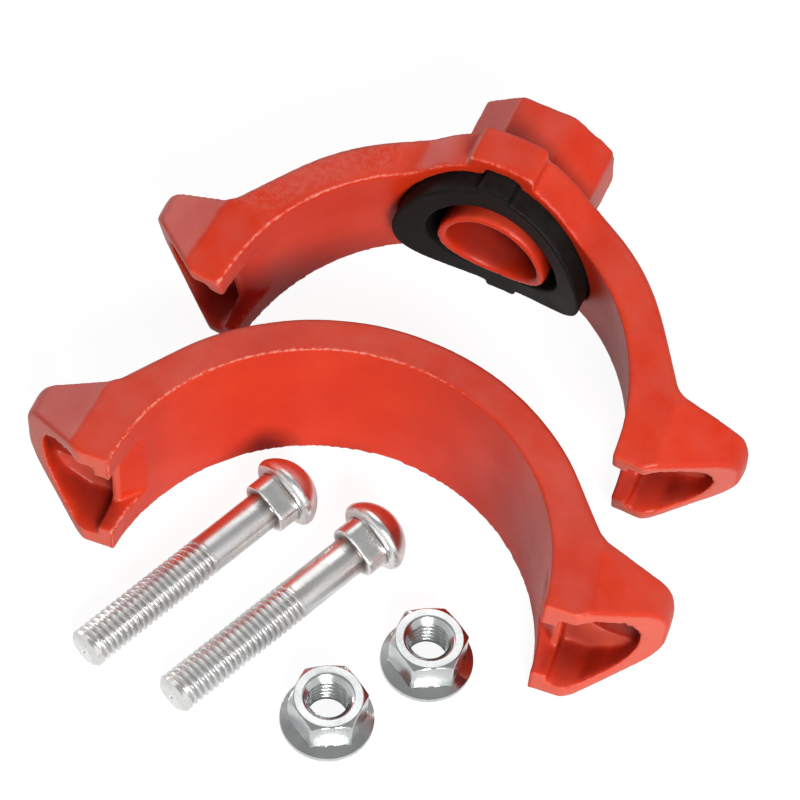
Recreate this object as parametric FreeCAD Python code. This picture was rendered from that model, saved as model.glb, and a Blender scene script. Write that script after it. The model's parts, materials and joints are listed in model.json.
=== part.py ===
# Mechanical tee with a threaded branch, laid out as a set: two cast housings taken
# off the pipe, the gasket in its pocket, two oval-neck track bolts and two flange nuts.
# Millimetres, +Z up, origin at the centre of the set's footprint on the table.
#
# Each housing is drawn in its own frame: X runs from ear to ear, Y from the run pipe's
# axis to the crown, Z along the run pipe with the housing's middle plane at zero.

import FreeCAD, Part

import math
import os

from FreeCAD import Vector

os.makedirs("parts", exist_ok=True)

X_AXIS = Vector(1, 0, 0)
Y_AXIS = Vector(0, 1, 0)
Z_AXIS = Vector(0, 0, 1)

# Run pipe and saddle ring
run_pipe_od = 114.3
saddle_clearance = 0.35
ring_wall = 10.8
housing_width = 44.6
mating_gap = 2.0            # each half stops this far short of the pipe's centre plane
ring_edge_r = 1.6

# Ears
root = 8.9                  # from the saddle: the pad ends, the ear narrows, the flank lands
bolt_offset = 17.5          # from the saddle
bolt_half_width = 17.0      # half the ear's width at the bolt
nose_end = 13.0             # beyond the bolt
nose_plan_r = 12.0          # round corners of the nose, seen along Y
nose_edge_r = 3.2           # between the nose and the bolt seat
nose_fall = 0.3             # the nose leans in this much from the seat to the rim
rim_angle = 36.0            # slope of the open rim, degrees
seat_height = 25.0          # bolt seat above the centre plane
seat_thickness = 8.0
foot_r = 3.0                # between the seat and the flank of the ring
pad_edge_r = 0.8
pad_fall = 1.75             # each side face falls this much from the draft line to the pad
draft_line = 24.2           # above the centre plane

# Hollow behind each mating pad
ear_wall = 4.2
end_wall = 6.7
pocket_end_r = 8.0
pocket_offset = 4.5         # from the saddle to the pocket
pocket_half = 15.5
slot_half = 12.2            # opening between the two lips
slot_depth = 10.0           # above the mating pad
slot_land = 2.0             # flat end of the slot
slot_run_out = 6.5          # then it rises this much to the saddle
bolt_hole_length = 16.6
bolt_hole_width = 13.0

# Upper housing: hub, tabs, gasket pocket, collar and branch boss
hub_r = 32.8
hub_blend_r = 10.0          # between the hub and the ring's side faces
tab_reach = 36.6            # from the middle plane to the end of each tab block
tab_half_width = 9.6
tab_corner_r = 1.6
pocket_r = 28.8
pocket_floor_wall = 4.0
notch_half_width = 4.9
notch_reach = 31.7
notch_root_r = 1.5
notch_end_r = 1.5
boss_flats = 38.9
boss_height = 19.4          # above the ring's crown
branch_bore = 27.4
collar_wall = 2.8
collar_reach = 7.8          # into the run pipe, from the saddle
collar_lip_r = 0.9
thread_bore = 30.3          # parallel core of the one-inch pipe thread
thread_depth = 19.0
thread_chamfer = 1.5

# Gasket
gasket_clearance = 0.3
gasket_hole_r = 20.0
gasket_stand = 5.6          # how far it stands proud of the saddle
gasket_edge_r = 0.5

# Track bolts
bolt_d = 10.9
bolt_shank_d = 10.7
bolt_length = 67.9          # under the head
thread_length = 41.5
thread_runout = 0.4
tip_chamfer = 1.2
tip_dimple_d = 3.2
tip_dimple_depth = 0.5
neck_length = 6.2
neck_long = 14.8
neck_short = 11.0
neck_flat = 9.6             # length of its parallel sides
head_d = 20.6
head_height = 9.0
head_rim = 2.4              # height of its round side
head_rim_r = 1.4

# Flange nuts
nut_flats = 18.0
nut_height = 12.0
nut_flange_d = 24.3
nut_flange_rim = 1.6
nut_flange_slope = 22.0     # degrees
nut_cone_top_d = 16.2
nut_bore = 10.3
nut_countersink_d = 13.2
nut_face_d = 17.5           # round top face inside the corner chamfers
nut_chamfer_angle = 30.0    # degrees

# How the set lies on the table: places are from the lower housing's pipe axis
upper_side_step = 4.55
upper_turn = -7.3
upper_row_gap = 1.65
bolt_tips = {"left": (-51.7, -31.0), "right": (-26.0, -35.2)}
bolt_headings = {"left": 62.6, "right": 61.9}
bolt_roll = 116.0
nuts = {"left": (12.3, -24.2), "right": (30.6, 1.0)}
nut_turn = -4.5

# Sizes that follow
saddle_r = run_pipe_od / 2 + saddle_clearance
ring_r = saddle_r + ring_wall
half_width = housing_width / 2
root_x = saddle_r + root
bolt_x = saddle_r + bolt_offset
ear_end_x = bolt_x + nose_end
taper = math.atan((half_width - bolt_half_width) / (bolt_x - root_x))
floor_r = ring_r - pocket_floor_wall
boss_face = ring_r + boss_height
collar_r = branch_bore / 2 + collar_wall
far = 2 * ear_end_x         # beyond every housing
overlap = 1.0               # how far cutters and joined pieces run into each other
touch = 0.01                # a point this close to a face counts as on it


# Helpers

def outline(start, *steps):
    """Closed outline in XY: a step is a point, or (through, end) for an arc."""
    edges = []
    here = Vector(*start)
    for step in steps + (start,):
        if isinstance(step[0], tuple):
            through = Vector(*step[0])
            end = Vector(*step[1])
            edges.append(Part.Arc(here, through, end).toShape())
        else:
            end = Vector(*step)
            if end.distanceToPoint(here) > 1e-6:
                edges.append(Part.LineSegment(here, end).toShape())
        here = end
    return Part.Face(Part.Wire(edges))


def extrude_z(face, low, high):
    """Push an XY outline along Z."""
    face.translate(Z_AXIS * low)
    return face.extrude(Z_AXIS * (high - low))


def extrude_y(face, low, high):
    """Push an outline drawn as (x, z) along Y."""
    face.rotate(Vector(), X_AXIS, 90)
    face.translate(Y_AXIS * low)
    return face.extrude(Y_AXIS * (high - low))


def extrude_x(face, low, high):
    """Push an outline drawn as (y, z) along X."""
    face.rotate(Vector(), Vector(1, 1, 1), 120)
    face.translate(X_AXIS * low)
    return face.extrude(X_AXIS * (high - low))


def turned(face):
    """Spin an outline drawn as (radius, height) about the Z axis."""
    face.rotate(Vector(), X_AXIS, 90)
    return face.revolve(Vector(), Z_AXIS, 360)


def round_bar(radius, low, high, axis):
    """Cylinder about one of the axes through the origin."""
    return Part.makeCylinder(radius, high - low, axis * low, axis)


def polygon_bar(flats, sides, low, high, axis):
    """Prism about an axis, given the width across its flats."""
    radius = flats / 2 / math.cos(math.pi / sides)
    corners = []
    for k in range(sides):
        angle = math.radians((k + 0.5) * 360 / sides)
        corners.append((radius * math.cos(angle), radius * math.sin(angle)))
    if axis == Y_AXIS:
        return extrude_y(outline(*corners), low, high)
    return extrude_z(outline(*corners), low, high)


def block(x_half, y_low, y_high, z_half):
    """Box centred on X and Z."""
    return Part.makeBox(2 * x_half, y_high - y_low, 2 * z_half, Vector(-x_half, y_low, -z_half))


def mirrored(shape, axis=X_AXIS):
    """The same feature on the other ear, or on the other side face."""
    return shape.mirror(Vector(), axis)


def rounded(shape, radius, chosen):
    """Fillet the edges whose points all pass a test."""
    return shape.makeFillet(radius, [e for e in shape.Edges if all(chosen(p) for p in e.discretize(5))])


def slotted(length, width):
    """Oval with parallel sides, long along X."""
    r = width / 2
    x = length / 2 - r
    return outline((-x, -r), (x, -r), ((x + r, 0), (x, r)), (-x, r), ((-x - r, 0), (-x, -r)))


# Saddle ring and ears, the same in both housings

def ring_section(reach):
    """Section across the ring with rounded outer corners, as (distance outward, z)."""
    h = half_width
    e = ring_edge_r
    d = e * math.sin(math.radians(45))
    return outline((reach - ring_wall, -h), (reach - e, -h), ((reach - e + d, -h + e - d), (reach, -h + e)),
                   (reach, h - e), ((reach - e + d, h - e + d), (reach - e, h)), (reach - ring_wall, h))


def flank_top():
    """Where the straight flank above the seat leaves the ring."""
    turn = math.atan2(seat_height, root_x) + math.acos(ring_r / math.hypot(root_x, seat_height))
    return Vector(math.cos(turn), math.sin(turn)) * ring_r


def flank():
    """The ring's section carried straight down from its tangent point into the ear."""
    top = flank_top()
    section = ring_section(ring_r)
    section.rotate(Vector(), X_AXIS, 90)
    bar = section.extrude(Y_AXIS * -(top.Length - saddle_r + seat_height / 2))
    bar.rotate(Vector(), Z_AXIS, math.degrees(math.atan2(top.y, top.x)))
    return bar.common(block(far, seat_height / 2, far, far))


def ear_side():
    """Side view of an ear: pad, sloping rim, nose, bolt seat and the foot of the flank."""
    rim_x = ear_end_x - nose_fall
    rim_y = mating_gap + (rim_x - root_x) * math.tan(math.radians(rim_angle))
    foot = Vector(root_x, seat_height)
    rise = (flank_top() - foot).normalize()
    run = foot_r * math.tan(rise.getAngle(-X_AXIS) / 2)
    centre = foot + Vector(run, foot_r)
    middle = centre + (foot - centre).normalize() * foot_r
    end = foot + rise * run
    inner = saddle_r - 3 * overlap
    nose = Vector(ear_end_x - nose_edge_r, seat_height - nose_edge_r)
    nose_mid = nose + Vector(1, 1).normalize() * nose_edge_r
    return outline((inner, mating_gap), (root_x, mating_gap), (rim_x, rim_y), (ear_end_x, nose.y),
                   ((nose_mid.x, nose_mid.y), (nose.x, seat_height)),
                   (foot.x + run, foot.y), ((middle.x, middle.y), (end.x, end.y)), (inner, end.y))


def teardrop(start_x, start_half, root_half, end_x, corner_r):
    """Plan that runs straight, narrows along the ear's taper and ends between round corners."""
    turn_x = root_x + (root_half - start_half) / math.tan(taper)
    full = root_half - (end_x - root_x) * math.tan(taper)
    shortening = (1 - math.sin(taper)) / math.cos(taper)
    r = min(corner_r, full / shortening)
    centre = Vector(end_x - r, full - r * shortening)
    on_taper = centre + Vector(math.sin(taper), math.cos(taper)) * r
    half = (math.pi / 2 - taper) / 2
    middle = centre + Vector(math.cos(half), math.sin(half)) * r
    return outline((start_x, -start_half), (turn_x, -start_half), (on_taper.x, -on_taper.y),
                   ((middle.x, -middle.y), (end_x, -centre.y)), (end_x, centre.y),
                   ((middle.x, middle.y), (on_taper.x, on_taper.y)), (turn_x, start_half), (start_x, start_half))


def side_relief():
    """What the draft takes off one side face between the draft line and the pads."""
    rise = draft_line - mating_gap
    wedge = outline((draft_line, half_width), (draft_line, half_width + rise),
                    (mating_gap - rise, half_width + rise), (mating_gap - rise, half_width - 2 * pad_fall))
    return extrude_x(wedge, -far, far)


def drafted(shape):
    """Let both side faces fall towards the pads."""
    relief = side_relief()
    return shape.cut([relief, mirrored(relief, Z_AXIS)])


def ear():
    """Solid ear with drafted side faces and softened pad and rim edges."""
    plan = teardrop(0, half_width, half_width, ear_end_x, nose_plan_r)
    body = drafted(extrude_z(ear_side(), -far, far).common(extrude_y(plan, 0, far)))
    slope = math.tan(math.radians(rim_angle))
    return rounded(body, pad_edge_r, lambda p: p.y < mating_gap + max(0, p.x - root_x) * slope + touch
                   and (p.x > bolt_x or abs(p.z) > slot_half))


def ear_hollow():
    """Teardrop pocket, the slot between the lips and the bolt hole."""
    pocket_x = saddle_r + pocket_offset
    root_half = half_width - ear_wall / math.cos(taper)
    plan = teardrop(pocket_x, pocket_half, root_half, ear_end_x - end_wall, pocket_end_r)
    pocket = extrude_y(plan, -far, seat_height - seat_thickness)
    back = pocket_x + overlap
    land = mating_gap + slot_depth
    top = land + slot_run_out
    slot = extrude_z(outline((0, -far), (back, -far), (back, land), (pocket_x - slot_land, land),
                             (math.sqrt(saddle_r ** 2 - top ** 2), top), (0, top)), -slot_half, slot_half)
    hole = extrude_y(slotted(bolt_hole_length, bolt_hole_width), 0, far)
    hole.translate(X_AXIS * bolt_x)
    return pocket.fuse([slot, hole])


def housing_blank():
    """Half ring with its flanks and both solid ears."""
    ring = turned(ring_section(ring_r)).common(block(far, seat_height / 2, far, far))
    arm = flank()
    side = ear()
    return drafted(ring.fuse([arm, mirrored(arm)])).fuse([side, mirrored(side)])


def hollowed(body):
    """Open the ears and clear the saddle."""
    hollow = ear_hollow()
    return body.cut([hollow, mirrored(hollow), round_bar(saddle_r, -far, far, Z_AXIS)])


# Upper housing

def hub_blend():
    """Quarter of the hub's plan that fills the corner between the hub and a side face of the ring."""
    reach = hub_r + hub_blend_r
    z = half_width + hub_blend_r
    x = math.sqrt(reach ** 2 - z ** 2)
    on_hub = Vector(x, z) * (hub_r / reach)
    inward = Vector(-x / reach, -z / reach - 1).normalize()
    middle = Vector(x, z) + inward * hub_blend_r
    low = half_width - overlap
    return extrude_y(outline((x, low), (x, half_width), ((middle.x, middle.y), (on_hub.x, on_hub.y)),
                             (0, on_hub.y), (0, low)), 0, far)


def hub():
    """Round hub and tab blocks around the branch, flush with the ring's inner and outer faces."""
    wall = round_bar(ring_r, -tab_reach, tab_reach, Z_AXIS)
    tabs = block(tab_half_width, 0, far, tab_reach)
    tabs = rounded(tabs, tab_corner_r,
                   lambda p: abs(p.x) > tab_half_width - touch and abs(p.z) > tab_reach - touch)
    side = hub_blend()
    blends = side.fuse(mirrored(side))
    return wall.common(round_bar(hub_r, 0, far, Y_AXIS).fuse([tabs, blends, mirrored(blends, Z_AXIS)]))


def branch_boss():
    """Octagonal boss for the branch."""
    return polygon_bar(boss_flats, 8, saddle_r, boss_face, Y_AXIS)


def gasket_plan(gap):
    """Disc with two rounded tabs, this much smaller than the pocket all round."""
    half = notch_half_width - gap
    reach = notch_reach - gap
    plan = round_bar(pocket_r - gap, 0, far, Y_AXIS).fuse(block(half, 0, far, reach))
    plan = rounded(plan, notch_end_r - gap, lambda p: abs(p.x) > half - touch and abs(p.z) > reach - touch)
    return rounded(plan, notch_root_r + gap, lambda p: abs(abs(p.x) - half) < touch and abs(p.z) < pocket_r)


def gasket_pocket():
    """Round pocket with two notches, its floor parallel to the pipe."""
    return round_bar(floor_r, -far, far, Z_AXIS).common(gasket_plan(0))


def collar():
    """Spigot that enters the hole in the run pipe, its end cut to the pipe's curve."""
    tube = round_bar(collar_r, 0, floor_r + overlap, Y_AXIS).cut(round_bar(branch_bore / 2, 0, far, Y_AXIS))
    tube = tube.cut(round_bar(saddle_r - collar_reach, -far, far, Z_AXIS))
    return rounded(tube, collar_lip_r, lambda p: math.hypot(p.x, p.y) < saddle_r - collar_reach + touch)


def branch_waterway():
    """Clear bore, thread core and its chamfer."""
    core = thread_bore / 2
    bore = round_bar(branch_bore / 2, 0, far, Y_AXIS)
    thread = round_bar(core, boss_face - thread_depth, far, Y_AXIS)
    mouth = Part.makeCone(core, core + 2 * thread_chamfer, 2 * thread_chamfer,
                          Y_AXIS * (boss_face - thread_chamfer), Y_AXIS)
    return bore.fuse([thread, mouth])


def upper_housing():
    """Housing half with the branch."""
    body = hollowed(housing_blank().fuse([hub(), branch_boss()]))
    body = body.cut(gasket_pocket())
    body = body.fuse(collar())
    return body.cut(branch_waterway())


def gasket():
    """Saddle gasket with two locating tabs, proud of the saddle."""
    c = gasket_clearance
    wall = round_bar(floor_r - c, -far, far, Z_AXIS).cut(round_bar(saddle_r - gasket_stand, -far, far, Z_AXIS))
    body = wall.common(gasket_plan(c)).cut(round_bar(gasket_hole_r, 0, far, Y_AXIS))
    return rounded(body, gasket_edge_r, lambda p: math.hypot(p.x, p.y) < saddle_r - gasket_stand + touch)


# Fasteners

def track_bolt():
    """Bolt along +Z from its tip: thread body, plain shank, oval neck and domed head."""
    r = bolt_d / 2
    shank = bolt_shank_d / 2
    dimple = tip_dimple_d / 2
    neck_low = bolt_length - neck_length
    stem = turned(outline((0, tip_dimple_depth), (dimple, 0), (r - tip_chamfer, 0), (r, tip_chamfer),
                          (r, thread_length), (shank, thread_length + thread_runout),
                          (shank, neck_low + overlap), (0, neck_low + overlap)))
    flat = neck_flat / 2
    wide = neck_short / 2
    oval = outline((-flat, -wide), (flat, -wide), ((neck_long / 2, 0), (flat, wide)),
                   (-flat, wide), ((-neck_long / 2, 0), (-flat, -wide)))
    neck = extrude_z(oval, neck_low, bolt_length + overlap)
    top = bolt_length + head_height
    rim = head_d / 2
    side = bolt_length + head_rim
    dome_r = (rim ** 2 + (top - side) ** 2) / (2 * (top - side))
    half = math.asin(rim / dome_r) / 2
    dome_mid = (dome_r * math.sin(half), top - dome_r * (1 - math.cos(half)))
    turn = head_rim_r * (1 - math.sin(math.radians(45)))
    head = turned(outline((0, bolt_length), (rim - head_rim_r, bolt_length),
                          ((rim - turn, bolt_length + turn), (rim, bolt_length + head_rim_r)),
                          (rim, side), (dome_mid, (0, top))))
    return stem.fuse([neck, head])


def flange_nut():
    """Hexagon nut with a conical flange, standing on its flange."""
    face = nut_face_d / 2
    outer = nut_flats / 2 / math.cos(math.radians(30)) + overlap
    shoulder = nut_height - (outer - face) * math.tan(math.radians(nut_chamfer_angle))
    cap = turned(outline((0, 0), (outer, 0), (outer, shoulder), (face, nut_height), (0, nut_height)))
    hexagon = polygon_bar(nut_flats, 6, 0, nut_height, Z_AXIS).common(cap)
    rim = nut_flange_d / 2
    cone = nut_cone_top_d / 2
    cone_top = nut_flange_rim + (rim - cone) * math.tan(math.radians(nut_flange_slope))
    flange = turned(outline((0, 0), (rim, 0), (rim, nut_flange_rim), (cone, cone_top), (0, cone_top)))
    bore = nut_bore / 2
    depth = nut_countersink_d / 2 - bore
    wide = bore + depth + overlap
    hole = turned(outline((0, -overlap), (wide, -overlap), (bore, depth), (bore, nut_height - depth),
                          (wide, nut_height + overlap), (0, nut_height + overlap)))
    return hexagon.fuse(flange).cut(hole)


# Layout on the table

def lay_upper(shape):
    """Tip a shape of the upper housing onto its pads and tab block, then turn and set it down."""
    tab_y = math.sqrt(saddle_r ** 2 - (tab_half_width - tab_corner_r) ** 2)
    tip = math.degrees(math.atan2(tab_reach - half_width + pad_fall, tab_y - mating_gap))
    shape.translate(Vector(0, 0, half_width - pad_fall))
    shape.rotate(Vector(0, mating_gap, 0), X_AXIS, tip)
    shape.rotate(Vector(), Z_AXIS, upper_turn)
    shape.translate(Vector(upper_side_step, ring_r + upper_row_gap, 0))
    return shape


def lay_bolt(shape, x, y, heading):
    """Lay a bolt on the rim of its head and the edge of its tip."""
    rest = math.asin((head_d - bolt_d) / 2 / (bolt_length + head_rim_r - tip_chamfer))
    shape.rotate(Vector(), Z_AXIS, bolt_roll)
    shape.rotate(Vector(), Y_AXIS, 90 - math.degrees(rest))
    shape.rotate(Vector(), Z_AXIS, heading)
    shape.translate(Vector(x, y, -shape.optimalBoundingBox(False).ZMin))
    return shape


def lay_nut(shape, x, y):
    """Stand a nut on its flange."""
    shape.rotate(Vector(), Z_AXIS, nut_turn)
    shape.translate(Vector(x, y, 0))
    return shape


lower = hollowed(housing_blank())
lower.translate(Vector(0, 0, half_width))
nodes = {"lower_housing": lower, "upper_housing": lay_upper(upper_housing()), "gasket": lay_upper(gasket())}
for side, place in bolt_tips.items():
    nodes["track_bolt_" + side] = lay_bolt(track_bolt(), *place, bolt_headings[side])
for side, place in nuts.items():
    nodes["flange_nut_" + side] = lay_nut(flange_nut(), *place)

box = Part.makeCompound(list(nodes.values())).optimalBoundingBox(False)
centre = Vector((box.XMin + box.XMax) / 2, (box.YMin + box.YMax) / 2, 0)
for name, shape in nodes.items():
    shape.translate(-centre)
    shape.exportStep("parts/" + name + ".step")
    print(name, "solids", len(shape.Solids), "valid", shape.isValid(), "volume", round(shape.Volume / 1000, 1), "cm3")
print("footprint", round(box.XLength, 1), round(box.YLength, 1), round(box.ZMax, 1), "lowest", round(box.ZMin, 3))
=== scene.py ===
import json
import math
import bpy
import bmesh
import numpy as np
from mathutils import Matrix, Vector, noise
from mathutils.bvhtree import BVHTree
from mathutils.kdtree import KDTree


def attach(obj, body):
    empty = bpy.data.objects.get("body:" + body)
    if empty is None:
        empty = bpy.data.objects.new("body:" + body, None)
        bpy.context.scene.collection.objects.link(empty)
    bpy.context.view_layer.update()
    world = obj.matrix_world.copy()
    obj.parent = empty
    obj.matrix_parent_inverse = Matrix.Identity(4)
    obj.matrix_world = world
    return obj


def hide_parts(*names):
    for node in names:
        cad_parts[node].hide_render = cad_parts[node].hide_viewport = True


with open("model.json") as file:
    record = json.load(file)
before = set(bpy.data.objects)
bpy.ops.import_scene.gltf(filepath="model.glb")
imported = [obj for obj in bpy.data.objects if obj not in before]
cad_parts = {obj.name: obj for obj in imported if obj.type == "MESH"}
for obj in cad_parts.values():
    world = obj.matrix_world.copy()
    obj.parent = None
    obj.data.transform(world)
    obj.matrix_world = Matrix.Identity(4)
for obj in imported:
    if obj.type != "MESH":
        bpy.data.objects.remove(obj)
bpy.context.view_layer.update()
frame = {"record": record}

mm = 0.001
tiny = 1e-6  # keeps a division from zero
fullTurn = 2 * math.pi
goldenAngle = 2.39996  # between one ray of an even dome and the next
white = (1, 1, 1, 1)
mounts = {m["name"]: m for m in frame["record"]["mounts"]}


# places that the frame gives
def mountPoint(name):
    return Vector(mounts[name]["pos_m"])


def mountAxis(name):
    return Vector(mounts[name]["axis"]).normalized()


def housingFrame(saddle):  # x ear to ear, y towards the crown, z along the run pipe
    alongPipe = mountAxis(saddle)
    earToEar = Vector((1, 0, 0))
    if alongPipe.z < 0.999:  # the half that lies tipped
        earToEar = Vector((-alongPipe.y, alongPipe.x, 0)).normalized()
    crown = alongPipe.cross(earToEar)
    return Matrix((earToEar, crown, alongPipe)).transposed(), mountPoint(saddle)


tableOrigin = mountPoint("lower_run_saddle")
tableOrigin.z = 0


# mesh helpers
def newObject(name, data):
    piece = bpy.data.objects.new(name, data)
    bpy.context.scene.collection.objects.link(piece)
    return piece


def meshPoints(mesh):
    flat = np.empty(len(mesh.vertices) * 3)
    mesh.vertices.foreach_get("co", flat)
    return flat.reshape(-1, 3)


def setPoints(mesh, points):
    mesh.vertices.foreach_set("co", points.astype(np.float32).ravel())
    mesh.update()


def meshNormals(mesh):
    flat = np.empty(len(mesh.vertices) * 3)
    mesh.vertices.foreach_get("normal", flat)
    return flat.reshape(-1, 3)


def meshLinks(mesh):
    flat = np.empty(len(mesh.edges) * 2, int)
    mesh.edges.foreach_get("vertices", flat)
    return flat.reshape(-1, 2)


def setAttribute(mesh, name, values):
    mesh.attributes.new(name, "FLOAT", "POINT").data.foreach_set("value", values.astype(np.float32))


evenStep = 0.5  # share of the way to the neighbours' mean that a point goes in one round
regrowStep = -0.52  # and back, which keeps the form from shrinking
weldGap = 0.001 * mm
seedShift = (3.7, 1.9, 5.3)  # from one seed's noise to the next


def relaxed(points, links, rounds, step=evenStep):
    ends = np.concatenate((links, links[:, ::-1]))
    count = np.bincount(ends[:, 0], minlength=len(points))
    for _ in range(rounds):
        sums = [np.bincount(ends[:, 0], column[ends[:, 1]], len(points)) for column in points.T]
        mean = np.stack(sums, 1) / count[:, None]
        points = points + step * (mean - points)
    return points


def smoothed(mesh, rounds):  # takes out the voxel steps
    links = meshLinks(mesh)
    points = meshPoints(mesh)
    for _ in range(rounds):
        points = relaxed(points, links, 1)
        points = relaxed(points, links, 1, regrowStep)
    return points, links


def ridgeHeight(points, links, normals, rounds):  # above zero on convex edges, below it in grooves
    return np.einsum("ij,ij->i", points - relaxed(points, links, rounds), normals)


def smoothStep(low, high, value):
    t = np.clip((value - low) / (high - low), 0, 1)
    return t * t * (3 - 2 * t)


def noiseField(points, depth, size, seed):  # smooth noise of this depth, with bumps of about this size
    shift = Vector([seed * s for s in seedShift])
    return np.array([noise.noise(Vector(p) / size + shift) for p in points]) * depth


def weldedCopy(node, name):
    mesh = bpy.data.objects[node].data.copy()
    work = bmesh.new()
    work.from_mesh(mesh)
    bmesh.ops.remove_doubles(work, verts=work.verts, dist=weldGap)
    work.to_mesh(mesh)
    work.free()
    return newObject(name, mesh)


def revoxel(piece, voxel):
    remesh = piece.modifiers.new("voxels", "REMESH")
    remesh.mode = "VOXEL"
    remesh.voxel_size = voxel
    remesh.use_smooth_shade = True
    shown = piece.evaluated_get(bpy.context.evaluated_depsgraph_get())
    mesh = bpy.data.meshes.new_from_object(shown)
    piece.modifiers.remove(remesh)
    piece.data = mesh


def finishPiece(piece, material, nodes=(), sharpAngle=None):
    piece.data.materials.clear()
    piece.data.materials.append(material)
    piece.data.polygons.foreach_set("use_smooth", [True] * len(piece.data.polygons))
    if sharpAngle:
        piece.data.set_sharp_from_angle(angle=math.radians(sharpAngle))
    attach(piece, "root")
    if nodes:
        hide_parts(*nodes)


# shader helpers
def addNode(tree, kind, inputs=None, **settings):
    node = tree.nodes.new(kind)
    for key, value in settings.items():
        setattr(node, key, value)
    for key, value in (inputs or {}).items():
        if isinstance(value, bpy.types.NodeSocket):
            tree.links.new(value, node.inputs[key])
        else:
            node.inputs[key].default_value = value
    return node


def mixColor(tree, factor, first, second):
    inputs = {0: factor, 6: first, 7: second}  # the sockets for colours
    return addNode(tree, "ShaderNodeMix", inputs, data_type="RGBA").outputs[2]


def mathNode(tree, operation, *values, clamp=False):
    inputs = dict(enumerate(values))
    return addNode(tree, "ShaderNodeMath", inputs, operation=operation, use_clamp=clamp).outputs[0]


def remap(tree, value, low, high, toLow=0.0, toHigh=1.0):
    inputs = {"Value": value, "From Min": low, "From Max": high, "To Min": toLow, "To Max": toHigh}
    return addNode(tree, "ShaderNodeMapRange", inputs, clamp=True).outputs[0]


def noiseNode(tree, place, scale, **inputs):
    inputs = {"Vector": place, "Scale": scale, **inputs}
    return addNode(tree, "ShaderNodeTexNoise", inputs).outputs[0]


def pointValue(tree, name):  # an attribute of the mesh's points
    return addNode(tree, "ShaderNodeAttribute", attribute_name=name).outputs["Fac"]


def millimetres(tree):  # object coordinates in millimetres
    place = tree.nodes.new("ShaderNodeTexCoord").outputs["Object"]
    return addNode(tree, "ShaderNodeVectorMath", {0: place, "Scale": 1 / mm}, operation="SCALE").outputs[0]


def newGroup(name, inputs, outputs):
    tree = bpy.data.node_groups.new(name, "ShaderNodeTree")
    for label, value in inputs.items():
        socket = tree.interface.new_socket(name=label, in_out="INPUT", socket_type="NodeSocketFloat")
        socket.default_value = value
    for label in outputs:
        tree.interface.new_socket(name=label, in_out="OUTPUT", socket_type="NodeSocketFloat")
    return tree, tree.nodes.new("NodeGroupInput").outputs, tree.nodes.new("NodeGroupOutput").inputs


def placeGroup(tree, group, values):
    node = tree.nodes.new("ShaderNodeGroup")
    node.node_tree = group
    for label, value in values.items():
        node.inputs[label].default_value = value
    return node.outputs


def newMaterial(name, fixed):
    material = bpy.data.materials.new(name)
    material.use_nodes = True
    tree = material.node_tree
    shader = tree.nodes["Principled BSDF"]
    for label, value in fixed.items():
        shader.inputs[label].default_value = value
    return material, tree, shader


def linkBump(tree, shader, height, strength, distance):
    inputs = {"Height": height, "Strength": strength, "Distance": distance}
    tree.links.new(addNode(tree, "ShaderNodeBump", inputs).outputs[0], shader.inputs["Normal"])


# effects that the materials share
def makeGrain():  # two sizes of surface grain: height for the bump, tone for colour and gloss
    scales = {"Fine": 1.5, "Coarse": 0.3, "Blotch": 0.05}
    tree, given, out = newGroup("surfaceGrain", scales, ["Height", "Tone"])
    fineShare, coarseShare, toneRange = 0.45, 0.55, (0.3, 0.7)
    place = millimetres(tree)
    fine = mathNode(tree, "MULTIPLY", noiseNode(tree, place, given["Fine"], Detail=3.0), fineShare)
    coarse = mathNode(tree, "MULTIPLY", noiseNode(tree, place, given["Coarse"], Detail=2.0), coarseShare)
    blotch = noiseNode(tree, place, given["Blotch"], Detail=4.0)
    tree.links.new(mathNode(tree, "ADD", fine, coarse), out["Height"])
    tree.links.new(remap(tree, blotch, *toneRange), out["Tone"])
    return tree


def makeEdgeWear():  # broken line of bare specks along the convex edges; on the castings they are partly a painted highlight
    tree, given, out = newGroup("edgeWear", {"Speck": 0.9, "Reach": 0.35, "Cover": 0.5}, ["Mask"])
    contrast = 12.0  # of the specks
    speck = noiseNode(tree, millimetres(tree), given["Speck"], Detail=4.0, Roughness=0.7)
    ridge = remap(tree, pointValue(tree, "edge"), given["Reach"], 1.0)
    bare = mathNode(tree, "SUBTRACT", speck, mathNode(tree, "SUBTRACT", 1.0, given["Cover"]))
    broken = mathNode(tree, "MULTIPLY", bare, contrast, clamp=True)
    tree.links.new(mathNode(tree, "MULTIPLY", ridge, broken, clamp=True), out["Mask"])
    return tree


def makeDustAndSheen():  # thin pale film on faces that look up: dust, and partly a painted sheen of the light from above
    tree, given, out = newGroup("dustAndSheen", {"Patch": 0.12, "Amount": 0.3}, ["Mask"])
    upRange, patchRange = (0.3, 1.0), (0.35, 0.75)
    normal = tree.nodes.new("ShaderNodeNewGeometry").outputs["Normal"]
    up = addNode(tree, "ShaderNodeSeparateXYZ", {0: normal}).outputs["Z"]
    patch = noiseNode(tree, millimetres(tree), given["Patch"], Detail=5.0)
    film = mathNode(tree, "MULTIPLY", remap(tree, up, *upRange), remap(tree, patch, *patchRange))
    tree.links.new(mathNode(tree, "MULTIPLY", film, given["Amount"]), out["Mask"])
    return tree


def makeHollow():  # shade inside hollows and grooves
    tree, given, out = newGroup("hollowShade", {"Low": 0.3, "High": 0.9, "Amount": 0.7}, ["Mask"])
    ramp = remap(tree, pointValue(tree, "hollow"), given["Low"], given["High"])
    tree.links.new(mathNode(tree, "MULTIPLY", ramp, given["Amount"]), out["Mask"])
    return tree


surfaceGrain = makeGrain()
edgeWear = makeEdgeWear()
dustAndSheen = makeDustAndSheen()
hollowShade = makeHollow()
print("shared effects made")


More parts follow.
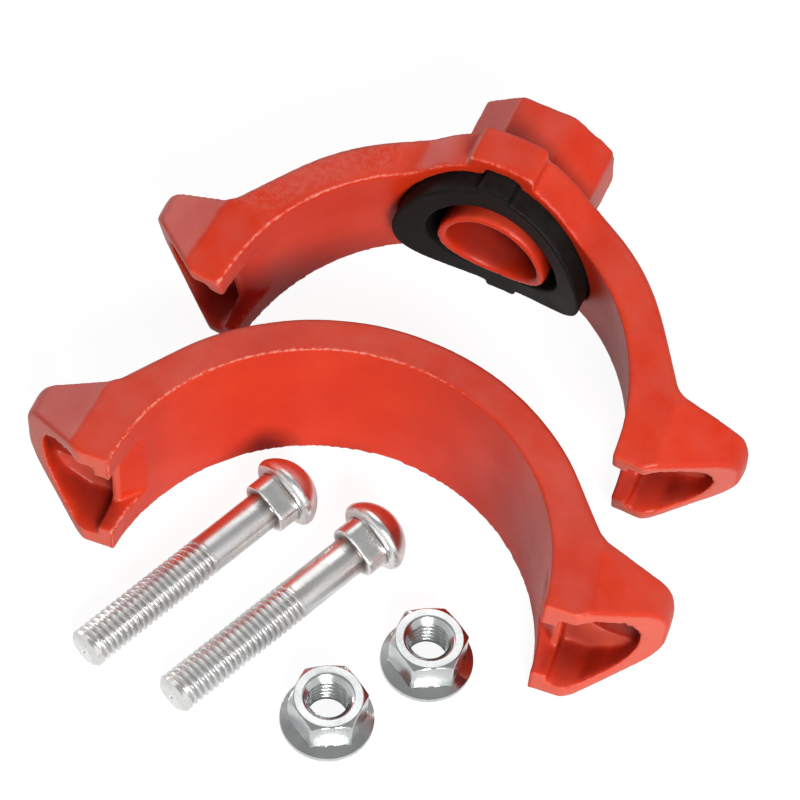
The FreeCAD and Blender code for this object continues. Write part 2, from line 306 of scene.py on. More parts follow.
# red enamel over cast iron
enamelLook = {
    "fixed": {"IOR": 1.5, "Specular IOR Level": 0.34},
    "bright": (0.79, 0.046, 0.010, 1),
    "deep": (0.70, 0.032, 0.007, 1),
    # painted shade deep in the pockets, slots and bores, laid on by the hollow mask
    "inside": (0.14, 0.004, 0.002, 1),
    "wornGlint": (0.90, 0.36, 0.27, 1), "wornGlintShare": 0.8,  # rubbed paint along the lips, partly a painted highlight
    "pad": (0.84, 0.14, 0.085, 1), "padShare": 0.8,  # paler pink on the faces that look at the split
    # pale film on faces that look up: dust, and partly a painted sheen
    "dustSheen": (0.76, 0.30, 0.25, 1),
    "roughness": (0.34, 0.44), "wornRoughness": 0.2,
    "grain": {"Fine": 1.6, "Coarse": 0.42, "Blotch": 0.055},
    "sand": {"Fine": 1.3, "Coarse": 0.55, "Blotch": 0.2}, "mottleRange": (0.42, 0.60), "mottle": 0.16,
    "wear": {"Speck": 0.7, "Reach": 0.55, "Cover": 0.54},
    "film": {"Patch": 0.10, "Amount": 0.16},
    "hollow": {"Low": 0.14, "High": 0.68, "Amount": 0.92},
    "sandBump": 3.5, "bump": 0.30, "bumpDepth": 0.3 * mm,
}


def makeEnamel(name, look):
    material, tree, shader = newMaterial(name, look["fixed"])
    grain = placeGroup(tree, surfaceGrain, look["grain"])
    sand = placeGroup(tree, surfaceGrain, look["sand"])["Height"]
    wear = placeGroup(tree, edgeWear, look["wear"])["Mask"]
    dustSheen = placeGroup(tree, dustAndSheen, look["film"])["Mask"]
    hollow = placeGroup(tree, hollowShade, look["hollow"])["Mask"]
    pad, rough = pointValue(tree, "pad"), pointValue(tree, "rough")
    mottle = mathNode(tree, "MULTIPLY", rough, remap(tree, sand, *look["mottleRange"], 0.0, look["mottle"]))
    paint = mixColor(tree, grain["Tone"], look["bright"], look["deep"])
    paint = mixColor(tree, mathNode(tree, "MULTIPLY", pad, look["padShare"]), paint, look["pad"])
    # pale film on up-facing faces: dust, and partly a painted sheen
    paint = mixColor(tree, dustSheen, paint, look["dustSheen"])
    paint = mixColor(tree, mottle, paint, look["dustSheen"])
    # pale line along the edges: rubbed paint, partly a painted highlight
    paint = mixColor(tree, mathNode(tree, "MULTIPLY", wear, look["wornGlintShare"]), paint, look["wornGlint"])
    # painted shade where the walls close in
    paint = mixColor(tree, hollow, paint, look["inside"])
    tree.links.new(paint, shader.inputs["Base Color"])
    gloss = remap(tree, grain["Tone"], 0.0, 1.0, *look["roughness"])
    gloss = mathNode(tree, "ADD", gloss, mathNode(tree, "MULTIPLY", wear, look["wornRoughness"]))
    tree.links.new(gloss, shader.inputs["Roughness"])
    skin = mathNode(tree, "MULTIPLY", mathNode(tree, "MULTIPLY", rough, sand), look["sandBump"])
    height = mathNode(tree, "ADD", grain["Height"], skin)
    linkBump(tree, shader, height, look["bump"], look["bumpDepth"])
    return material


redEnamel = makeEnamel("redEnamel", enamelLook)


# black rubber
rubberLook = {
    "fixed": {"IOR": 1.5, "Specular IOR Level": 0.12},
    "black": (0.0050, 0.0042, 0.0036, 1),
    "bloom": (0.009, 0.008, 0.007, 1),
    "scuff": (0.055, 0.052, 0.050, 1), "scuffShare": 0.4,
    "roughness": (0.52, 0.64),
    "grain": {"Fine": 3.0, "Coarse": 0.8, "Blotch": 0.09},
    "film": {"Patch": 0.3, "Amount": 0.20},
    "wear": {"Speck": 1.4, "Reach": 0.4, "Cover": 0.42},
    "bump": 0.25, "bumpDepth": 0.15 * mm,
}


def makeRubber(name, look):
    material, tree, shader = newMaterial(name, look["fixed"])
    grain = placeGroup(tree, surfaceGrain, look["grain"])
    dustSheen = placeGroup(tree, dustAndSheen, look["film"])["Mask"]
    wear = placeGroup(tree, edgeWear, look["wear"])["Mask"]
    colour = mixColor(tree, grain["Tone"], look["black"], look["bloom"])
    colour = mixColor(tree, dustSheen, colour, look["scuff"])
    colour = mixColor(tree, mathNode(tree, "MULTIPLY", wear, look["scuffShare"]), colour, look["scuff"])
    tree.links.new(colour, shader.inputs["Base Color"])
    tree.links.new(remap(tree, grain["Tone"], 0.0, 1.0, *look["roughness"]), shader.inputs["Roughness"])
    linkBump(tree, shader, grain["Height"], look["bump"], look["bumpDepth"])
    return material


blackRubber = makeRubber("blackRubber", rubberLook)


# bright zinc plate, one for the bolts and a darker one for the nuts
boltZincLook = {
    "fixed": {"Metallic": 1.0},
    "bright": (0.84, 0.83, 0.81, 1),
    "dull": (0.66, 0.67, 0.67, 1),
    "grooveShade": (0.16, 0.125, 0.105, 1),  # painted shade in the thread grooves and the nuts' bores
    "rubbed": (0.93, 0.93, 0.93, 1), "rubbedShare": 0.5,  # along the edges
    "roughness": (0.22, 0.36),
    "grain": {"Fine": 2.2, "Coarse": 0.7, "Blotch": 0.12},
    "wear": {"Speck": 1.5, "Reach": 0.3, "Cover": 0.55},
    "hollow": {"Low": 0.1, "High": 0.9, "Amount": 0.85},
    "bump": 0.35, "bumpDepth": 0.2 * mm,
}
nutZincLook = {
    **boltZincLook,
    "bright": (0.71, 0.73, 0.725, 1),
    "dull": (0.50, 0.52, 0.525, 1),
    "grooveShade": (0.10, 0.11, 0.11, 1),
    "rubbedShare": 0.15,
    "roughness": (0.13, 0.24),
    "bump": 0.15,
}


def makeZinc(name, look):
    material, tree, shader = newMaterial(name, look["fixed"])
    grain = placeGroup(tree, surfaceGrain, look["grain"])
    wear = placeGroup(tree, edgeWear, look["wear"])["Mask"]
    hollow = placeGroup(tree, hollowShade, look["hollow"])["Mask"]
    colour = mixColor(tree, grain["Tone"], look["bright"], look["dull"])
    colour = mixColor(tree, mathNode(tree, "MULTIPLY", wear, look["rubbedShare"]), colour, look["rubbed"])
    # painted shade in grooves and bores
    colour = mixColor(tree, hollow, colour, look["grooveShade"])
    tree.links.new(colour, shader.inputs["Base Color"])
    tree.links.new(remap(tree, grain["Tone"], 0.0, 1.0, *look["roughness"]), shader.inputs["Roughness"])
    linkBump(tree, shader, grain["Height"], look["bump"], look["bumpDepth"])
    return material


boltZinc = makeZinc("boltZinc", boltZincLook)
nutZinc = makeZinc("nutZinc", nutZincLook)
print("materials made")


# the two castings: the CAD form with cast edges, sandy skin and rubbed lips, whose pale line is partly a
# painted highlight
castLook = {
    "voxel": 0.60 * mm, "settle": 6, "edgeRounds": 6,
    "crispBore": 0.16, "crispLips": 0.68,  # share of the rounding that these edges get
    "pocketEnd": (66.85, 14.6, 17.0),  # round end wall of the pockets: centre, radius and floor
    "wallArc": (56, 4), "notchHalf": 0.42,  # half its arc and a step in degrees, half the notch in radians
    "endBacks": (3.25, 1.8),  # thickness of the end wall at the notch and beside it
    "rimFoot": (66.4, 2.0), "rimSlope": 36.0,  # a point of the ears' rim and its slope in degrees
    "openEnd": (17 * mm, 22 * mm),  # pads, rims, slots and pockets end at this height above the split
    "boreFrom": (56.0 * mm, 56.8 * mm), "boreTo": (58.3 * mm, 59.5 * mm),  # radius of the bore's skin
    "ridge": 0.24 * mm, "ridgeRounds": 8,
    "lipFacing": (0.2, 0.5), "lipWearGlint": 0.8,  # how far a lip with the pale line looks at the split
    "glintFade": (0, 35 * mm), "glintLoss": 0.5,  # the pale edge line, partly a painted highlight, is fainter on the right ear
    "padFacing": (0.70, 0.80), "padFrom": (57.9 * mm, 58.6 * mm),
    "backFrom": (24.2 * mm, 26 * mm), "backRadius": (58.5 * mm, 61 * mm),  # the sandy outside
    "rough": 1.0, "sandEnd": (-34 * mm, -25 * mm), "sandLeast": 0.25,
    "swell": (0.09 * mm, 13 * mm, 1),  # depth, size and seed of the unevenness
    "peel": (0.028 * mm, 2.4 * mm, 2),
    "sand": (0.055 * mm, 1.1 * mm, 9),
    "lift": -0.05 * mm,  # keeps the unevenness inside the CAD form
    "hollowVoxel": 1.8 * mm, "hollowRays": 24, "hollowReach": 32 * mm, "hollowRounds": 12,
    "hollowStart": 0.3,  # millimetres off the wall
}
strapLook = {**castLook, "sand": (0.018 * mm, 1.1 * mm, 9), "rough": 0.15}
outletLook = {**castLook, "voxel": 0.73 * mm, "crispBore": 0.34, "ridge": 0.30 * mm}
threadLook = {
    "sides": 96, "crest": 15.15, "wall": 16.65, "overlap": 0.12, "length": 17.5, "mouth": 1.5,
    "stop": 13.85, "pitch": 2.2, "grooveDepth": 1.15, "grooveWidth": 0.92, "rootFlat": 0.06,
    "runIn": (0.6, 2.6), "shade": 0.35, "edgeReach": 0.10, "sharpAngle": 40,
}


def closeEndWalls(piece, saddle, look):  # the pockets end in a round wall, without the bolt hole's notch
    axes, origin = housingFrame(saddle)
    centre, radius, floor = look["pocketEnd"]
    footX, footY = look["rimFoot"]
    slope = math.tan(math.radians(look["rimSlope"]))
    thick, thin = look["endBacks"]
    half, step = look["wallArc"]
    arc = [math.radians(a) for a in range(-half, half + 1, step)]
    front = [(radius, a) for a in arc]
    back = [(radius + (thick if abs(a) < look["notchHalf"] else thin), a) for a in arc[::-1]]
    plan = [(centre + r * math.cos(a), r * math.sin(a)) for r, a in front + back]
    rim = [(x, footY + (x - footX) * slope, z) for x, z in plan]
    inner = [(x, floor, z) for x, z in plan]
    work = bmesh.new()
    work.from_mesh(piece.data)
    for sign in (-1, 1):
        low, high = [], []
        for ring, places in ((low, rim), (high, inner)):
            for x, y, z in places:
                ring.append(work.verts.new(origin + axes @ Vector((sign * x, y, z)) * mm))
        faces = [work.faces.new(low), work.faces.new(high[::-1])]
        for k in range(len(low)):
            faces.append(work.faces.new((low[k - 1], high[k - 1], high[k], low[k])))
        bmesh.ops.recalc_face_normals(work, faces=faces)
    work.to_mesh(piece.data)
    work.free()


def openedBranch(points, look):  # room for the thread in the branch
    axis = np.array(mountAxis("branch_outlet"))
    away = points - np.array(mountPoint("branch_outlet"))
    along = away @ axis
    across = away - along[:, None] * axis
    radius = np.linalg.norm(across, axis=1)
    half = look["length"] / 2 * mm
    inside = (along > -half) & (radius < look["wall"] * mm)
    grown = np.where(inside, look["wall"] * mm / np.maximum(radius, tiny), 1)
    return points + across * (grown - 1)[:, None]


def hollowShare(node, points, links, look):  # how far a point's own walls close off its view, which sets the painted shade in the hollows
    walls = weldedCopy(node, "walls")
    revoxel(walls, look["hollowVoxel"])
    mesh = walls.data
    tree = BVHTree.FromPolygons([v.co for v in mesh.vertices], [p.vertices for p in mesh.polygons])
    rays = look["hollowRays"]
    spread = [(math.sqrt((k + 0.5) / rays), goldenAngle * k) for k in range(rays)]
    dome = [Vector((r * math.cos(a), r * math.sin(a), math.sqrt(1 - r * r))) for r, a in spread]
    nearest = KDTree(len(mesh.vertices))
    shares = []
    for v in mesh.vertices:
        turn = Vector((0, 0, 1)).rotation_difference(v.normal)
        start = v.co + v.normal * look["hollowStart"] * mm
        hits = [tree.ray_cast(start, turn @ d, look["hollowReach"])[0] is not None for d in dome]
        shares.append(sum(hits) / rays)
        nearest.insert(v.co, v.index)
    nearest.balance()
    found = np.array([shares[nearest.find(p)[1]] for p in points])
    bpy.data.objects.remove(walls)
    return relaxed(found[:, None], links, look["hollowRounds"])[:, 0]


def castPiece(node, name, saddle, look):
    piece = weldedCopy(node, name)
    closeEndWalls(piece, saddle, look)
    revoxel(piece, look["voxel"])
    mesh = piece.data
    points, links = smoothed(mesh, look["settle"])
    axes, origin = housingFrame(saddle)
    local = (points - np.array(origin)) @ np.array(axes)
    right, height = local[:, 0], local[:, 1]
    radius = np.hypot(right, height)
    opening = 1 - smoothStep(*look["openEnd"], height)
    bore = smoothStep(*look["boreFrom"], radius) * (1 - smoothStep(*look["boreTo"], radius))
    rounding = 1 - np.maximum((1 - look["crispLips"]) * opening, (1 - look["crispBore"]) * bore)
    points = relaxed(points, links, look["edgeRounds"], evenStep * rounding[:, None])
    if node == "upper_housing":
        points = openedBranch(points, threadLook)
    setPoints(mesh, points)
    normals = meshNormals(mesh)
    ridge = ridgeHeight(points, links, normals, look["ridgeRounds"])
    facing = -(normals @ np.array(axes)[:, 1])
    # pale line on the bore's edge and the lips, partly a painted highlight, fainter on the right ear
    wornGlint = np.maximum(bore, look["lipWearGlint"] * opening * smoothStep(*look["lipFacing"], facing))
    wornGlint = wornGlint * (1 - look["glintLoss"] * smoothStep(*look["glintFade"], right))
    setAttribute(mesh, "edge", np.clip(ridge / look["ridge"], 0, 1) * wornGlint)
    setAttribute(mesh, "hollow", hollowShare(node, points, links, look))
    pad = smoothStep(*look["padFacing"], facing) * opening * smoothStep(*look["padFrom"], radius)
    setAttribute(mesh, "pad", pad)
    outside = smoothStep(*look["backFrom"], height) * smoothStep(*look["backRadius"], radius)
    sandy = outside * look["rough"] * (1 - smoothStep(*look["sandEnd"], right))
    setAttribute(mesh, "rough", sandy)
    lift = noiseField(points, *look["swell"]) + noiseField(points, *look["peel"])
    lift = lift + noiseField(points, *look["sand"]) * np.maximum(sandy, look["sandLeast"]) + look["lift"]
    points = points + normals * lift[:, None]
    points[:, 2] = np.maximum(points[:, 2], 0)  # nothing goes below the table
    setPoints(mesh, points)
    print(name, "faces", len(mesh.polygons))
    finishPiece(piece, redEnamel, [node])


castPiece("lower_housing", "strapCasting", "lower_run_saddle", strapLook)
castPiece("upper_housing", "outletCasting", "upper_run_saddle", outletLook)


# gasket
gasketLook = {
    "voxel": 0.45 * mm, "settle": 4, "edgeRounds": 2,
    "ridge": 0.10 * mm, "ridgeRounds": 8,
    "swell": (0.05 * mm, 9 * mm, 4),  # depth, size and seed
}


def makeGasket(look):
    piece = weldedCopy("gasket", "saddleGasket")
    revoxel(piece, look["voxel"])
    mesh = piece.data
    points, links = smoothed(mesh, look["settle"])
    points = relaxed(points, links, look["edgeRounds"])
    setPoints(mesh, points)
    normals = meshNormals(mesh)
    ridge = ridgeHeight(points, links, normals, look["ridgeRounds"])
    setAttribute(mesh, "edge", np.clip(ridge / look["ridge"], 0, 1))
    setPoints(mesh, points + normals * noiseField(points, *look["swell"])[:, None])
    print("saddleGasket faces", len(mesh.polygons))
    finishPiece(piece, blackRubber, ["gasket"])


makeGasket(gasketLook)


# turned and threaded parts, lofted from rings; their sizes are in millimetres
threadRings = 14  # in one pitch
loftRidgeRounds = 4


def ringAngles(look):
    return np.linspace(0, fullTurn, look["sides"], endpoint=False)


def threadCut(z, angles, look):  # 0 on the crest, 1 at the root
    offset = np.abs(np.mod(z / look["pitch"] - angles / fullTurn, 1) - 0.5)
    outer, inner = look["grooveWidth"] / 2, look["rootFlat"] / 2
    return smoothStep(0, 1, np.clip((outer - offset) / (outer - inner), 0, 1))


def loftMesh(name, rows, angles, loop=False):  # each row is a height and a radius, plain or by angle
    heights = np.array([height for height, _ in rows])
    radii = np.stack([np.broadcast_to(radius, angles.shape) for _, radius in rows])
    across = np.stack([radii * np.cos(angles), radii * np.sin(angles)], -1)
    rings = np.concatenate([across, np.broadcast_to(heights[:, None, None], radii.shape + (1,))], -1)
    count, sides = radii.shape
    faces = []
    for low in range(count if loop else count - 1):
        high = (low + 1) % count
        for s in range(sides):
            t = (s + 1) % sides
            faces.append((low * sides + s, low * sides + t, high * sides + t, high * sides + s))
    if not loop:
        faces.append(tuple(range(sides))[::-1])
        faces.append(tuple((count - 1) * sides + s for s in range(sides)))
    mesh = bpy.data.meshes.new(name)
    mesh.from_pydata(rings.reshape(-1, 3).tolist(), [], faces)
    mesh.validate()
    return mesh


def markEdges(mesh, reach, shade=0.0):  # edges light, grooves and bores get painted shade
    mesh.update()
    points, links = meshPoints(mesh), meshLinks(mesh)
    ridge = ridgeHeight(points, links, meshNormals(mesh), loftRidgeRounds)
    setAttribute(mesh, "edge", np.clip(ridge / reach, 0, 1))
    setAttribute(mesh, "hollow", np.maximum(np.clip(-ridge / reach, 0, 1), shade))


# track bolts
boltLook = {
    "sides": 84, "bodyR": 5.45, "shankR": 5.35, "length": 67.9,
    "threadEnd": 41.5, "pitch": 1.75, "grooveDepth": 0.80, "grooveWidth": 0.74, "rootFlat": 0.10,
    "runIn": (1.4, 4.2), "runOut": (39.9, 41.4), "tipChamfer": 1.2, "dimple": (1.1, 1.0),
    "neckStart": 61.7, "neckLong": 7.4, "neckShort": 5.5, "neckFlat": 4.8, "neckPower": 18.0,
    "neckFillet": 0.5, "headR": 10.3, "headRim": 2.4, "headTop": 76.9, "rimR": 1.4,
    "domeRings": 24, "domeSoft": (0.12, 0.5, 0.6),  # drop at the rim, its reach and the step inwards
    "capR": 0.03,
    "roll": 116.0, "edgeReach": 0.07, "sharpAngle": 38,
}
boltPlaces = {"Left": (-51.7, -31.0, 62.6), "Right": (-26.0, -35.2, 61.9)}  # tip x, y and heading


def neckRadius(angles, look):  # two flats joined by shallow end arcs, corners slightly softened
    rise = look["neckLong"] - look["neckFlat"]
    endR = (look["neckShort"] ** 2 + rise ** 2) / (2 * rise)
    centre = look["neckLong"] - endR
    c, s = np.abs(np.cos(angles)), np.abs(np.sin(angles))
    onArc = centre * c + np.sqrt(endR ** 2 - (centre * s) ** 2)
    onFlat = look["neckShort"] / np.maximum(s, tiny)
    power = look["neckPower"]
    return (onArc ** -power + onFlat ** -power) ** (-1 / power)


def boltRows(angles, look):  # from the tip to the head; rings close to an edge keep it crisp
    body, shank, top = look["bodyR"], look["shankR"], look["length"]
    tipR = body - look["tipChamfer"]
    dimpleR, dimpleDeep = look["dimple"]
    rows = [(dimpleDeep, 0.02), (dimpleDeep * 0.9, 0.5), (0.05, dimpleR - 0.15)]  # dimple
    rows += [(0.0, dimpleR + 0.1), (0.0, tipR - 0.15), (0.06, tipR + 0.1)]  # flat of the tip
    start, end = look["tipChamfer"] - 0.25, look["threadEnd"] + 0.3
    for z in np.arange(start, end, look["pitch"] / threadRings):
        fade = smoothStep(*look["runIn"], z) * (1 - smoothStep(*look["runOut"], z))
        outer = min(body, tipR + z) if z < look["threadEnd"] else shank
        rows.append((z, outer - look["grooveDepth"] * fade * threadCut(z, angles, look)))
    rows += [(look["threadEnd"] + 1.5 + k * 3.0, shank) for k in range(6)]  # plain shank
    neck, low, fillet = neckRadius(angles, look), look["neckStart"], look["neckFillet"]
    rows += [(low - 0.35, shank), (low - 0.1, shank + 0.08), (low, shank + 0.3)]  # step to the neck
    rows += [(low + 0.02, np.maximum(neck - 0.5, shank + 0.3)), (low + 0.12, neck - 0.22)]
    rows += [(low + 0.35, neck - 0.05)] + [(low + 0.6 + k * 1.2, neck) for k in range(5)]
    for a in (0.4, 0.8, 1.2, 1.57):
        rows.append((top - fillet + fillet * math.sin(a), neck + fillet * (1 - math.cos(a))))
    head, rimR = look["headR"], look["rimR"]
    rows += [(top, 0.5 * (neck + head - rimR)), (top, head - rimR)]  # underside of the head
    for a in np.arange(0.3, 1.6, 0.25):
        rows.append((top + rimR * (1 - math.cos(a)), head - rimR + rimR * math.sin(a)))
    side, high = top + look["headRim"], look["headTop"]
    rows.append((side - 0.25, head))
    domeR = (head ** 2 + (high - side) ** 2) / (2 * (high - side))
    span = math.asin(head / domeR)
    drop, reach, inwards = look["domeSoft"]
    for k in range(look["domeRings"]):
        a = span * (1 - k / (look["domeRings"] - 1))
        soft = drop * math.exp(-(head - domeR * math.sin(a)) / reach)
        radius = max(look["capR"], domeR * math.sin(a) - soft * inwards)
        rows.append((high - domeR * (1 - math.cos(a)) - soft, radius))
    return rows


def boltPlace(look, x, y, heading):  # lies on its tip's edge and the rim of its head
    rim = look["length"] + look["rimR"]
    rest = math.asin((look["headR"] - look["bodyR"]) / (rim - look["tipChamfer"]))
    lift = look["bodyR"] * math.cos(rest) - look["tipChamfer"] * math.sin(rest)
    turn = (Matrix.Rotation(math.radians(heading), 4, "Z") @ Matrix.Rotation(math.pi / 2 - rest, 4, "Y")
            @ Matrix.Rotation(math.radians(look["roll"]), 4, "Z"))
    return Matrix.Translation(tableOrigin + Vector((x, y, lift)) * mm) @ turn @ Matrix.Scale(mm, 4)


def makeBolt(side, look):
    angles = ringAngles(look)
    mesh = loftMesh("trackBolt" + side, boltRows(angles, look), angles)
    mesh.transform(boltPlace(look, *boltPlaces[side]))
    markEdges(mesh, look["edgeReach"] * mm)
    piece = newObject("trackBolt" + side, mesh)
    finishPiece(piece, boltZinc, ["track_bolt_" + side.lower()], look["sharpAngle"])


for side in boltPlaces:
    makeBolt(side, boltLook)
print("bolts made")


# flange nuts
nutLook = {
    "sides": 180, "flats": 18.0, "cornerSoft": 0.12, "height": 12.0, "faceR": 8.75, "chamfer": 30.0,
    "flangeR": 12.15, "flangeRim": 1.6, "slope": 22.0, "underR": 9.5,
    "bore": 5.15, "countersink": 6.6, "boreShade": 0.24, "shadeInset": 0.5,
    "pitch": 1.75, "grooveDepth": 0.75, "grooveWidth": 0.8, "rootFlat": 0.12,
    "runIn": (-0.3, 0.8), "runOut": (-0.9, 0.2),  # from the foot of each countersink
    "flangeTop": 3.6, "flangeStep": 0.06, "hexStep": 0.14,  # spacing of the rings
    "turn": -4.5, "edgeReach": 0.05, "sharpAngle": 32,
}
nutPlaces = {"Left": (12.3, -24.2), "Right": (30.6, 1.0)}  # x and y


def nutRows(angles, look):  # from the underside, up the outside and down the bore
    halfFlats, corner = look["flats"] / 2, math.pi / 6
    hexagon = halfFlats / np.cos(np.mod(angles + corner, math.pi / 3) - corner)
    hexagon = np.minimum(hexagon, halfFlats / math.cos(corner) - look["cornerSoft"])
    height, face, bore, sink = look["height"], look["faceR"], look["bore"], look["countersink"]
    rim, rimTop = look["flangeR"], look["flangeRim"]
    slope = math.tan(math.radians(look["slope"]))
    chamfer = math.tan(math.radians(look["chamfer"]))
    rows = [(0.0, sink + 0.1), (0.0, look["underR"]), (0.0, rim - 0.25)]  # underside
    rows += [(0.08, rim - 0.07), (0.25, rim), (rimTop - 0.25, rim), (rimTop - 0.07, rim - 0.05)]
    flange = np.arange(rimTop, look["flangeTop"], look["flangeStep"])
    hexSide = np.arange(look["flangeTop"], height - 0.1, look["hexStep"])
    for z in np.concatenate([flange, hexSide, [height - 0.06]]):
        cone = rim - 0.2 - (z - rimTop) / slope
        rows.append((z, np.maximum(cone, np.minimum(hexagon, face + (height - z) / chamfer))))
    rows += [(height - 0.02, face - 0.08), (height, face - 0.25)]  # top face
    rows += [(height, sink + 0.25), (height - 0.05, sink + 0.05)]
    deep = sink - bore  # the countersinks go in at 45 degrees
    rows += [(height - deep * k / 4, sink - deep * k / 4) for k in range(1, 5)]
    fadeIn = [deep + z for z in look["runIn"]]
    fadeOut = [height - deep + z for z in look["runOut"]]
    for z in np.arange(height - deep - 0.1, deep, -look["pitch"] / threadRings):
        fade = smoothStep(*fadeIn, z) * (1 - smoothStep(*fadeOut, z))
        rows.append((z, bore + look["grooveDepth"] * fade * threadCut(z, angles, look)))
    return rows + [(deep, bore), (deep / 2, bore + deep / 2)]


def makeNut(side, look):
    angles = ringAngles(look)
    middle = tableOrigin + Vector((*nutPlaces[side], 0)) * mm
    turn = Matrix.Rotation(math.radians(look["turn"]), 4, "Z")
    mesh = loftMesh("flangeNut" + side, nutRows(angles, look), angles, loop=True)
    mesh.transform(Matrix.Translation(middle) @ turn @ Matrix.Scale(mm, 4))
    away = meshPoints(mesh) - np.array(middle)
    inBore = np.hypot(away[:, 0], away[:, 1]) < (look["countersink"] - look["shadeInset"]) * mm
    markEdges(mesh, look["edgeReach"] * mm, look["boreShade"] * inBore)
    piece = newObject("flangeNut" + side, mesh)
    finishPiece(piece, nutZinc, ["flange_nut_" + side.lower()], look["sharpAngle"])


for side in nutPlaces:
    makeNut(side, nutLook)
print("nuts made")


# thread of the branch, whose look is with the castings
def makeBranchThread(look):
    angles = ringAngles(look)
    crest, wall, stop = look["crest"], look["wall"] + look["overlap"], look["stop"]
    length, start = look["length"], look["runIn"][0]
    top = length + look["mouth"]
    rows = [(top - 0.12, wall), (0.0, wall), (0.0, stop), (0.3, stop + 0.1), (0.45, crest + 0.5)]
    for z in np.arange(start, length + 0.9, look["pitch"] / threadRings):
        cut = look["grooveDepth"] * smoothStep(*look["runIn"], z) * threadCut(z, angles, look)
        rows.append((z, np.maximum(crest + cut, crest + max(0.0, z - length))))
    rows += [(top - 0.4, wall - 0.4), (top - 0.14, wall - 0.1)]
    mesh = loftMesh("branchThread", rows, angles, loop=True)
    axis = mountAxis("branch_outlet")
    turn = axis.to_track_quat("Z", "X").to_matrix().to_4x4()
    base = mountPoint("branch_outlet") - axis * length / 2 * mm
    mesh.transform(Matrix.Translation(base) @ turn @ Matrix.Scale(mm, 4))
    markEdges(mesh, look["edgeReach"] * mm, look["shade"])
    piece = newObject("branchThread", mesh)
    finishPiece(piece, redEnamel, sharpAngle=look["sharpAngle"])


makeBranchThread(threadLook)
print("branch thread made")


# studio: floor, light and camera
studioLook = {
    "floorSize": 6.0,
    "floor": {"Base Color": (0.35, 0.35, 0.35, 1), "Roughness": 0.9, "Specular IOR Level": 0.0},
    "seenTone": (0.18, 0.18, 0.18, 1), "seenGlow": 0.93,
    "mirrorTone": (0.66, 0.66, 0.66, 1), "mirrorGlow": 0.34,
    "worldLight": 0.06,
    "horizon": 0.9, "zenith": 0.35, "fall": (0.40, 0.75),  # what metal sees, from low to high
    "lamps": {  # power, size and place
        "keyLight": (19.2, 0.6, (0.61, -1.00, 0.76)),
        "filmLight": (2.7, 1.0, (-0.17, 0.63, 0.92)),
        "sideLight": (4.4, 0.9, (-1.1, 0.55, 0.20)),
    },
}


def mixShader(tree, factor, first, second):
    return addNode(tree, "ShaderNodeMixShader", {0: factor, 1: first, 2: second}).outputs[0]


def seenByEye(tree):  # camera, mirror and glass rays
    path = tree.nodes.new("ShaderNodeLightPath").outputs
    both = mathNode(tree, "MAXIMUM", path["Is Camera Ray"], path["Is Glossy Ray"])
    return mathNode(tree, "MAXIMUM", both, path["Is Transmission Ray"])


def paleFloor(tree, tone, glow):
    dim = addNode(tree, "ShaderNodeBsdfDiffuse", {"Color": tone}).outputs[0]
    light = addNode(tree, "ShaderNodeEmission", {"Color": white, "Strength": glow}).outputs[0]
    return addNode(tree, "ShaderNodeAddShader", {0: dim, 1: light}).outputs[0]


def makeFloor(look):
    size = look["floorSize"] / 2
    corners = [(-size, -size, 0), (size, -size, 0), (size, size, 0), (-size, size, 0)]
    mesh = bpy.data.meshes.new("floor")
    mesh.from_pydata(corners, [], [(0, 1, 2, 3)])
    floor = newObject("floor", mesh)
    material, tree, shader = newMaterial("paleFloor", look["floor"])
    seen = paleFloor(tree, look["seenTone"], look["seenGlow"])
    mirrored = paleFloor(tree, look["mirrorTone"], look["mirrorGlow"])
    eye = tree.nodes.new("ShaderNodeLightPath").outputs["Is Camera Ray"]
    shown = mixShader(tree, seenByEye(tree), shader.outputs[0], mixShader(tree, eye, mirrored, seen))
    tree.links.new(shown, tree.nodes["Material Output"].inputs["Surface"])
    mesh.materials.append(material)


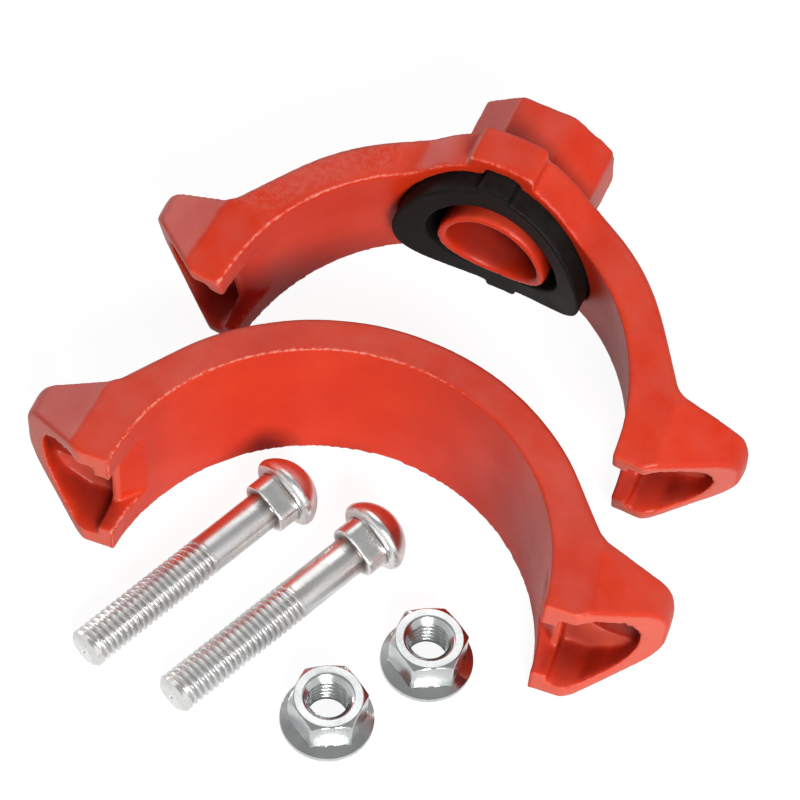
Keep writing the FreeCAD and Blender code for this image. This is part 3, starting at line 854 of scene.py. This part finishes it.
def makeWorld(look):
    world = bpy.data.worlds.new("studio")
    bpy.context.scene.world = world
    world.use_nodes = True
    tree = world.node_tree
    plain = tree.nodes["Background"]
    plain.inputs["Color"].default_value = white
    plain.inputs["Strength"].default_value = look["worldLight"]
    direction = tree.nodes.new("ShaderNodeTexCoord").outputs["Generated"]
    height = addNode(tree, "ShaderNodeSeparateXYZ", {0: direction}).outputs["Z"]
    backdrop = remap(tree, height, *look["fall"], look["horizon"], look["zenith"])
    mirror = addNode(tree, "ShaderNodeBackground", {"Color": white, "Strength": backdrop}).outputs[0]
    bright = addNode(tree, "ShaderNodeBackground", {"Color": white, "Strength": 1.0}).outputs[0]
    eye = tree.nodes.new("ShaderNodeLightPath").outputs["Is Camera Ray"]
    shown = mixShader(tree, seenByEye(tree), plain.outputs[0], mixShader(tree, eye, mirror, bright))
    tree.links.new(shown, tree.nodes["World Output"].inputs["Surface"])


def softLamp(name, power, size, place):
    lamp = bpy.data.lights.new(name, "AREA")
    lamp.shape = "DISK"
    lamp.energy = power
    lamp.size = size
    stand = newObject(name, lamp)
    stand.location = place
    stand.rotation_euler = (-Vector(place)).to_track_quat("-Z", "Y").to_euler()


cameraLook = {
    "target": (-3.28, 77.52, 0.0),  # from the strap casting's pipe axis, on the floor
    "offset": (101.8, -396.6, 565.7),
    "roll": 5.887,
    "lens": 112.6, "sensor": 36, "nearest": 0.01,
}


def makeCamera(look):
    target = tableOrigin + Vector(look["target"]) * mm
    place = target + Vector(look["offset"]) * mm
    forward = (target - place).normalized()
    right = forward.cross(Vector((0, 0, 1))).normalized()
    up = right.cross(forward)
    roll = math.radians(look["roll"])
    rolledRight = right * math.cos(roll) + up * math.sin(roll)
    rolledUp = up * math.cos(roll) - right * math.sin(roll)
    lens = bpy.data.cameras.new("photoView")
    lens.lens = look["lens"]
    lens.sensor_width = look["sensor"]
    lens.clip_start = look["nearest"]
    camera = newObject("photoView", lens)
    turn = Matrix((rolledRight, rolledUp, -forward)).transposed().to_4x4()
    camera.matrix_world = Matrix.Translation(place) @ turn
    bpy.context.scene.camera = camera


makeFloor(studioLook)
makeWorld(studioLook)
for name, (power, size, place) in studioLook["lamps"].items():
    softLamp(name, power, size, place)
makeCamera(cameraLook)
bpy.context.scene.view_settings.view_transform = "Standard"
print("studio made")
